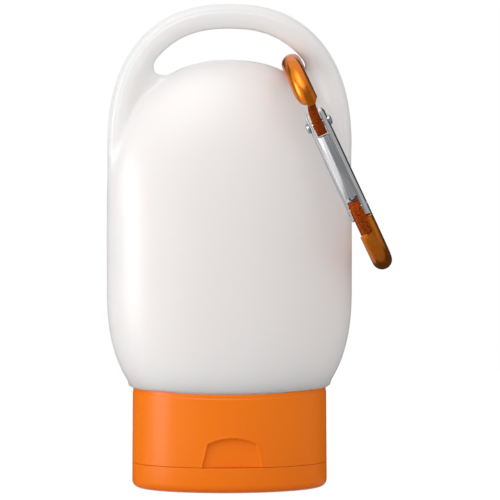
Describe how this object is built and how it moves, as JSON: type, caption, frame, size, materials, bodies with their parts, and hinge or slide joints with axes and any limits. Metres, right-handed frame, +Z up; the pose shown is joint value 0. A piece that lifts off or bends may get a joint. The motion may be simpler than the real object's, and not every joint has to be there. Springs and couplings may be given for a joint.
{
  "type": "sunscreen bottle",
  "caption": "Flat white pocket squeeze bottle standing on an orange flip-top closure, with a moulded carry loop and a snap hook.",
  "frame": {"origin": "centre of the lid's flat underside, which the bottle stands on", "axes": "+Z up the bottle, from the closure to the carry loop; X across the width, with the snap hook at +X; the front with the thumb notch faces -Y and the film hinge is at +Y"},
  "size_m": [0.0518, 0.0266, 0.0876],
  "materials": {
    "bottle_plastic": "white blow-moulded polyethylene, satin gloss",
    "lotion": "off-white cream",
    "closure_plastic": "orange injection-moulded polypropylene, fine satin",
    "anodised_rod": "orange anodised, bright",
    "bare_rod": "plain, bright drawn",
    "steel_small_parts": "bright"
  },
  "bodies": {
    "bottle": {"bottle_shell": "bottle_plastic", "lotion_fill": "lotion", "closure_base": "closure_plastic", "hinge_strap_left": "closure_plastic", "hinge_strap_right": "closure_plastic", "hinge_snap_strap": "closure_plastic"},
    "lid": {"closure_lid": "closure_plastic"},
    "carabiner": {"carabiner_frame": "anodised_rod"},
    "gate": {"carabiner_gate": "bare_rod", "gate_pivot_rivet": "steel_small_parts", "gate_catch_pin": "steel_small_parts", "gate_spring": "steel_small_parts"},
    "plunger": {"gate_plunger": "steel_small_parts"}
  },
  "joints": [
    {"name": "lid_hinge", "type": "hinge", "parent": "bottle", "child": "lid", "pos_m": [0, 0.0107, 0.00462], "axis": [1, 0, 0], "range_deg": [0, 150], "deforming": ["hinge_strap_left", "hinge_strap_right", "hinge_snap_strap"]},
    {"name": "carabiner_swing", "type": "hinge", "parent": "bottle", "child": "carabiner", "pos_m": [0.01131, 0, 0.07688], "axis": [-0.0711, -0.9969, -0.0332], "range_deg": [0, 155]},
    {"name": "gate_hinge", "type": "hinge", "parent": "carabiner", "child": "gate", "pos_m": [0.02222, -0.01294, 0.05107], "axis": [-0.9035, 0.0785, -0.4213], "range_deg": [0, 20], "stiffness_Nm_per_rad": 0.01, "springref_deg": -28.65},
    {"name": "plunger_slide", "type": "slide", "parent": "gate", "child": "plunger", "axis": [-0.4249, -0.0361, 0.9045], "range_m": [0, 0.00023]}
  ],
  "couplings": [
    {"joint": "plunger_slide", "follows": "gate_hinge", "m_per_rad": 0.00065}
  ]
}
